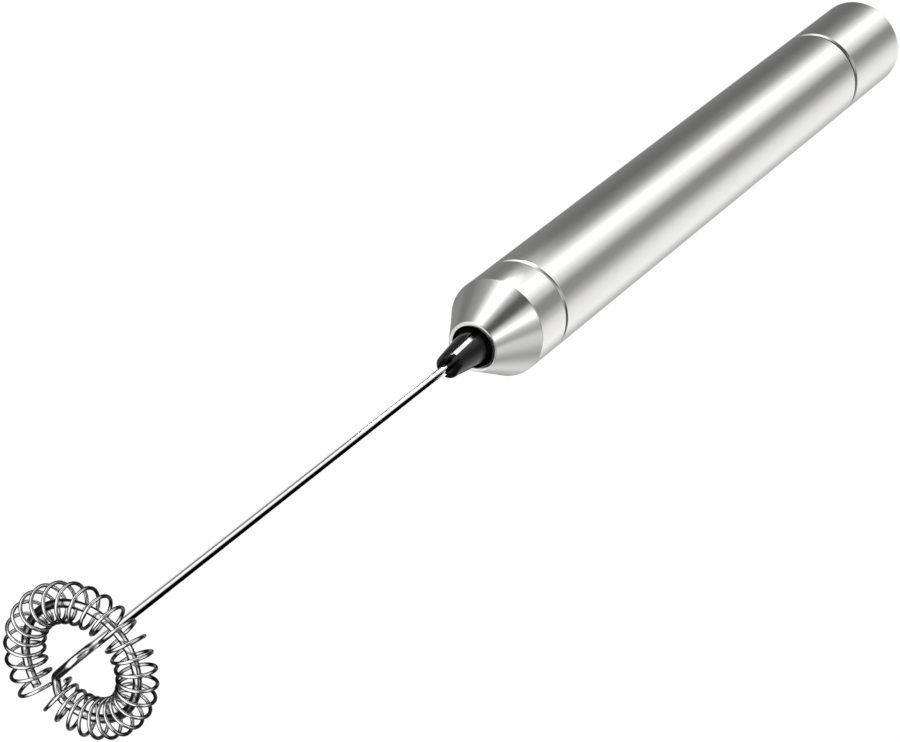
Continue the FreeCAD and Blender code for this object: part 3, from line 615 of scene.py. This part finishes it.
run = []
for step in range(SPRING_STEPS + 1):
    share = step / SPRING_STEPS
    rise = share - 0.5 * math.sin(2 * math.pi * share) / (2 * math.pi)
    turn = 2 * math.pi * SPRING_TURNS * share
    height = SPRING_LOW + (SPRING_HIGH - SPRING_LOW) * rise
    run.append((SPRING_RADIUS * math.cos(turn), SPRING_RADIUS * math.sin(turn), height))
button_spring = wire("button_spring_wound", run, SPRING_WIRE, 12)
spring_metal = turned_metal("button_spring_wire", (0.80, 0.80, 0.79), (0.64, 0.64, 0.62), 0.18,
                            (2200, 2200, 2200))
spring_metal.on(button_spring)
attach(button_spring, "tail_cap")
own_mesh(button_spring)
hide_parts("button_spring")


# Collet: a black acetal moulding, tapered, that grips the motor's shaft below and the whisk's wire above.
# Three flat-bottomed flutes follow its taper, and a slot across its tip lets it close on the wire.

COLLET_LOW = 0.1430
COLLET_HIGH = 0.1608
COLLET_STRAIGHT = 0.1484
COLLET_BASE = 0.0035
COLLET_TIP = 0.0019
SHAFT_BORE = 0.0010
WIRE_RADIUS = 0.00065
WIRE_LOW = 0.1490
FLUTE_WIDTH = 0.00105
FLUTE_DEPTH = 0.00042
FLUTE_ANGLE = -61.0
FLUTE_STOP = 0.00125
CUTTER_DEPTH = 0.002
CUTTER_OVERRUN = 0.002
SLOT_WIDTH = 0.0015
SLOT_DEPTH = 0.0012
SLOT_ANGLE = 8.0
SAW_LENGTH = 0.012

collet = turned("collet_moulding", [
    (SHAFT_BORE, COLLET_LOW),
    (COLLET_BASE - 0.0003, COLLET_LOW),
    (COLLET_BASE, COLLET_LOW + 0.0003),
    (COLLET_BASE, COLLET_STRAIGHT),
    (COLLET_TIP + 0.0001, COLLET_HIGH - 0.00025),
    (COLLET_TIP - 0.0001, COLLET_HIGH),
    (WIRE_RADIUS, COLLET_HIGH),
    (WIRE_RADIUS, WIRE_LOW),
    (SHAFT_BORE, WIRE_LOW),
], sides=96, edge=0)

flute_low = Vector((COLLET_BASE + 0.00002, 0, COLLET_STRAIGHT))
flute_high = Vector((COLLET_TIP + 0.0001, 0, COLLET_HIGH))
flute_way = (flute_high - flute_low).normalized()
flute_out = Vector((flute_way.z, 0, -flute_way.x))
flute_length = (flute_high - flute_low).length - FLUTE_STOP
for number in range(3):
    bpy.ops.object.select_all(action="DESELECT")
    bpy.ops.mesh.primitive_cube_add(size=1)
    cutter = bpy.context.active_object
    cutter.rotation_mode = "QUATERNION"
    cutter.scale = (FLUTE_WIDTH, CUTTER_DEPTH, flute_length + CUTTER_OVERRUN)
    cutter.rotation_quaternion = flute_way.to_track_quat("Z", "Y")
    middle = flute_low + flute_way * (flute_length - CUTTER_OVERRUN) / 2
    cutter.location = middle + flute_out * (CUTTER_DEPTH / 2 - FLUTE_DEPTH)
    bpy.context.view_layer.update()
    turn = Matrix.Rotation(math.radians(FLUTE_ANGLE + 120 * number), 4, "Z")
    cutter.matrix_world = turn @ cutter.matrix_world
    bpy.context.view_layer.update()
    carve(collet, cutter)
bpy.ops.object.select_all(action="DESELECT")
slot_turn = math.radians(SLOT_ANGLE)
bpy.ops.mesh.primitive_cube_add(size=1, location=(0, 0, COLLET_HIGH), rotation=(0, 0, slot_turn))
saw = bpy.context.active_object
saw.scale = (SLOT_WIDTH, SAW_LENGTH, SLOT_DEPTH * 2)
bpy.context.view_layer.update()
carve(collet, saw)
soften(collet, 0.00005, angle=32)

acetal = Finish("gloss_black_moulding", Specular_IOR_Level=0.32)
mottle = acetal.noise((900, 900, 500), detail=4.0)
acetal.link("Base Color", acetal.blend(mottle, (0.0035, 0.0035, 0.0037), (0.0080, 0.0080, 0.0083)))
acetal.link("Roughness", 0.12 + acetal.noise((700, 700, 700), detail=5.0, rough=0.6) * 0.10)
acetal.bump(acetal.noise((900, 900, 500), detail=2.0), 0.000001, 0.4)
acetal.on(collet)
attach(collet, "whisk")
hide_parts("collet")


# Whisk wire: one length of stainless wire, straight along the axis, bent out to the rim, and bent twice
# more into the ring that carries the coil. The ring is a slight spiral, and the wire is polished.

SHAFT_MIDDLE = 0.20
RING_HEIGHT = 0.2612
RING_CENTRE = Vector((-0.0013, -0.0004, RING_HEIGHT))
RING_RADIUS = 0.00783
RING_GROWTH = 0.0024
RING_START = 98.0
RING_JOIN = 106.0
RING_END = 440.5
ARM_ANGLE = 91.5
ARM_LENGTH = 0.00503
ARM_BEND = 0.0011
ARM_TURN = 48.0
SLANT_LENGTH = 0.00135
RING_BEND = 0.0022
SHAFT_BEND = 0.0024


def heading(degrees):
    """A level unit vector, turned from +X."""
    return Vector((math.cos(math.radians(degrees)), math.sin(math.radians(degrees)), 0))


def level_bend(run, way, degrees, radius):
    """Adds a left-hand bend to a run of points that is going in direction way."""
    centre = run[-1] + heading(way + 90) * radius
    steps = max(8, int(degrees / 3))
    for step in range(1, steps + 1):
        run.append(centre + heading(way - 90 + degrees * step / steps) * radius)
    return way + degrees


arm_way = heading(ARM_ANGLE)
up_way = Vector((0, 0, 1))
run = [Vector((0, 0, WIRE_LOW)), Vector((0, 0, SHAFT_MIDDLE))]
for step in range(13):
    lean = math.radians(90 * step / 12)
    height = RING_HEIGHT - SHAFT_BEND * (1 - math.sin(lean))
    run.append(arm_way * SHAFT_BEND * (1 - math.cos(lean)) + up_way * height)
run.append(arm_way * ARM_LENGTH + up_way * RING_HEIGHT)
way = level_bend(run, ARM_ANGLE, ARM_TURN, ARM_BEND)
run.append(run[-1] + heading(way) * SLANT_LENGTH)
lag = math.degrees(math.atan2(RING_GROWTH / (2 * math.pi), RING_RADIUS))
way = level_bend(run, way, RING_JOIN + 90 - lag - way, RING_BEND)
left = RING_END - RING_JOIN
radius = RING_RADIUS + RING_GROWTH / 8
while left > 0:
    way = level_bend(run, way, min(90.0, left), radius)
    left -= 90.0
    radius += RING_GROWTH / 4
whisk_wire = wire("whisk_wire_bent", run, WIRE_RADIUS, 24)

polished = Finish("polished_wire", Metallic=1.0)
drawn = polished.noise((4000, 4000, 260), detail=3.0, rough=0.6)
shade = polished.blend(drawn, (0.84, 0.84, 0.84), (0.93, 0.93, 0.93))
# Painted shade: on the bent part of the wire, above a height of 0.2570 m, the base colour goes near black as
# the surface turns edge on to the eye.
bent = polished.span(polished.along("Z"), 0.2570, 0.2585)
edge = polished.rim(0.14, 0.34) * bent
polished.link("Base Color", polished.blend(edge, shade, (0.012, 0.012, 0.012)))
polished.link("Roughness", 0.06 + drawn * 0.08)
polished.bump(drawn, 0.0000010, 0.5)
polished.on(whisk_wire)
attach(whisk_wire, "whisk")
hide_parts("whisk_wire")


# Whisk coil: a long open spring of thin stainless wire, threaded over the ring and bent round with it, so
# its turns fan out at the rim and crowd together on the inside.

COIL_RADIUS = 0.0027
COIL_WIRE = 0.00028
COIL_TURNS = 28.0
COIL_START = 91.0
COIL_END = 444.0
COIL_STEPS = int(COIL_TURNS * 32)

run = []
for step in range(COIL_STEPS + 1):
    share = step / COIL_STEPS
    wind = 2 * math.pi * COIL_TURNS * share + math.pi
    around = COIL_START + (COIL_END - COIL_START) * share
    reach = RING_RADIUS + RING_GROWTH * (around - RING_START) / 360 + COIL_RADIUS * math.cos(wind)
    run.append(RING_CENTRE + heading(around) * reach + up_way * COIL_RADIUS * math.sin(wind))
coil = wire("whisk_coil_spring", run, COIL_WIRE, 12)

spring_wire = Finish("bright_spring_wire", Metallic=1.0)
streak = spring_wire.noise((1500, 1500, 1500), detail=3.0)
shade = spring_wire.blend(streak, (0.82, 0.82, 0.82), (0.95, 0.95, 0.95))
# Painted shade: the base colour goes near black as the coil's wire turns edge on to the eye.
spring_wire.link("Base Color", spring_wire.blend(spring_wire.rim(0.12, 0.34), shade, (0.008, 0.008, 0.008)))
spring_wire.link("Roughness", 0.08 + streak * 0.12)
spring_wire.bump(streak, 0.0000015, 0.5)
spring_wire.on(coil)
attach(coil, "whisk")
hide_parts("whisk_coil")


# Room: a white table top just below the frother, lit from within and left out of reflections, four cards
# that only show in reflections, and a sky whose grey changes with bearing at three heights. This is more
# than a plain studio light.

TABLE_DROP = 0.012

bpy.ops.object.select_all(action="DESELECT")
bpy.ops.mesh.primitive_plane_add(size=8, location=(0, 0, -TABLE_DROP))
floor = bpy.context.active_object
floor.name = "table_top"
table = Finish("white_table", Roughness=0.6, Specular_IOR_Level=0.0)
table.surface.inputs["Emission Color"].default_value = (1, 1, 1, 1)
table.surface.inputs["Emission Strength"].default_value = 0.93
table.surface.inputs["Base Color"].default_value = (0.1, 0.1, 0.1, 1)
table.on(floor)
floor.visible_glossy = False


def card(name, place, faces, width, height, glow):
    """A stage card that only shows in reflections: black, or lit where glow is above 0."""
    bpy.ops.object.select_all(action="DESELECT")
    bpy.ops.mesh.primitive_plane_add(size=1, location=place)
    board = bpy.context.active_object
    board.name = name
    board.scale = (width, height, 1)
    board.rotation_mode = "QUATERNION"
    board.rotation_quaternion = Vector(faces).to_track_quat("Z", "Y")
    paint = Finish(name + "_paint", Base_Color=(0, 0, 0, 1), Specular_IOR_Level=0.0, Roughness=1.0)
    paint.surface.inputs["Emission Color"].default_value = (1, 1, 1, 1)
    paint.surface.inputs["Emission Strength"].default_value = glow
    paint.on(board)
    board.visible_camera = False
    board.visible_diffuse = False
    board.visible_shadow = False


card("dark_card", (-0.0028, 0.0048, 0.2043), (0.50, -0.866, 0), 0.0090, 0.0955, 0.0)
card("near_dark_card", (-0.0050, -0.0023, 0.2043), (0.906, 0.423, 0), 0.0115, 0.0955, 0.0)
card("pale_card", (0.0052, 0.0047, 0.2043), (-0.743, -0.669, 0), 0.009, 0.0955, 0.85)
card("bright_card", (0.0293, -0.0243, 0.1277), (-0.6243, 0.4927, 0.6065), 0.012, 0.021, 25.0)

world = bpy.data.worlds.new("studio")
bpy.context.scene.world = world
world.use_nodes = True


class Sky(Finish):
    """The nodes of the world."""

    def __init__(self):
        self.tree = world.node_tree
        self.surface = self.tree.nodes["Background"]


sky = Sky()
direction = sky.node("TexCoord", result="Generated")
parts = sky.tree.nodes.new("ShaderNodeSeparateXYZ")
sky.tree.links.new(direction.socket, parts.inputs[0])
east, north, height = (Value(sky, parts.outputs[i]) for i in range(3))
bearing = sky.node("Math", {"operation": "ARCTAN2"}, {0: north, 1: east}) / (2 * math.pi) + 0.5


def bearings(stops):
    """(bearing in degrees, grey) stops, made places from 0 to 1 in rising order."""
    placed = sorted(((angle / 360 + 0.5) % 1.0, grey) for angle, grey in stops)
    first, last = placed[0], placed[-1]
    gap = first[0] + 1 - last[0]
    seam = last[1] + (first[1] - last[1]) * (1 - last[0]) / gap
    return [(0.0, seam)] + placed + [(1.0, seam)]


# The greys of the sky, which the steel shows as bands: (bearing in degrees, grey) stops at three heights.
LOW = [(-174, 1.02), (-158, 0.92), (-142, 0.55), (-126, 0.30), (-108, 0.28), (-92, 0.75), (-78, 1.12),
       (-62, 1.75), (-46, 0.92), (-30, 0.36), (-14, 0.24), (4, 0.15), (22, 0.18), (50, 0.30), (90, 0.45),
       (122, 0.70), (138, 0.90), (160, 1.10)]
MID = [(173, 0.40), (-163, 0.72), (-151, 0.80), (-139, 0.40), (-127, 0.58), (-113, 1.8), (-102, 0.85),
       (-88, 0.09), (-74, 0.09), (-61, 0.46), (-48, 1.4), (-35, 1.8), (-22, 0.85), (-10, 0.40), (1, 0.34),
       (24, 0.22), (45, 0.24), (66, 0.45), (90, 0.6), (135, 0.7)]
HIGH = [(-178, 0.03), (-158, 0.03), (-140, 0.06), (-124, 0.45), (-108, 0.40), (-94, 0.04), (-68, 0.03),
        (-52, 0.30), (-38, 1.4), (-15, 1.5), (10, 1.2), (40, 0.5), (90, 0.9), (130, 1.1), (152, 0.9),
        (168, 0.06)]
low = sky.ramp(bearing, *bearings(LOW), ease="EASE")
mid = sky.ramp(bearing, *bearings(MID), ease="EASE")
high = sky.ramp(bearing, *bearings(HIGH), ease="EASE")
rise = sky.ramp(height * 0.5 + 0.5, (0.20, 0.0), (0.36, 1.0))
climb = sky.ramp(height * 0.5 + 0.5, (0.59, 0.0), (0.62, 1.0))
top = sky.ramp(height * 0.5 + 0.5, (0.84, 0.0), (0.88, 1.0))
fields = sky.blend(climb, sky.blend(rise, low, mid), high)
sky.link("Color", sky.blend(top, fields, (1.25, 1.25, 1.25)))
sky.surface.inputs["Strength"].default_value = 1.0

camera_data = bpy.data.cameras.new("camera")
camera_data.sensor_width = 36
camera_data.lens = 136
camera_data.clip_start = 0.01
camera = bpy.data.objects.new("camera", camera_data)
bpy.context.scene.collection.objects.link(camera)
# The frame's x, y and z axes as the camera sees them: rightwards, upwards and towards it.
across = (-0.620, 0.7846, 0.0)
away = (-0.607, -0.4797, -0.6335)
up = (-0.4971, -0.3928, 0.7737)
stand = Matrix.Translation((-0.000816, -0.340259, 0.576277))
camera.matrix_world = stand @ Matrix((across, away, up)).to_4x4()
bpy.context.scene.camera = camera
bpy.context.scene.view_settings.view_transform = "Standard"
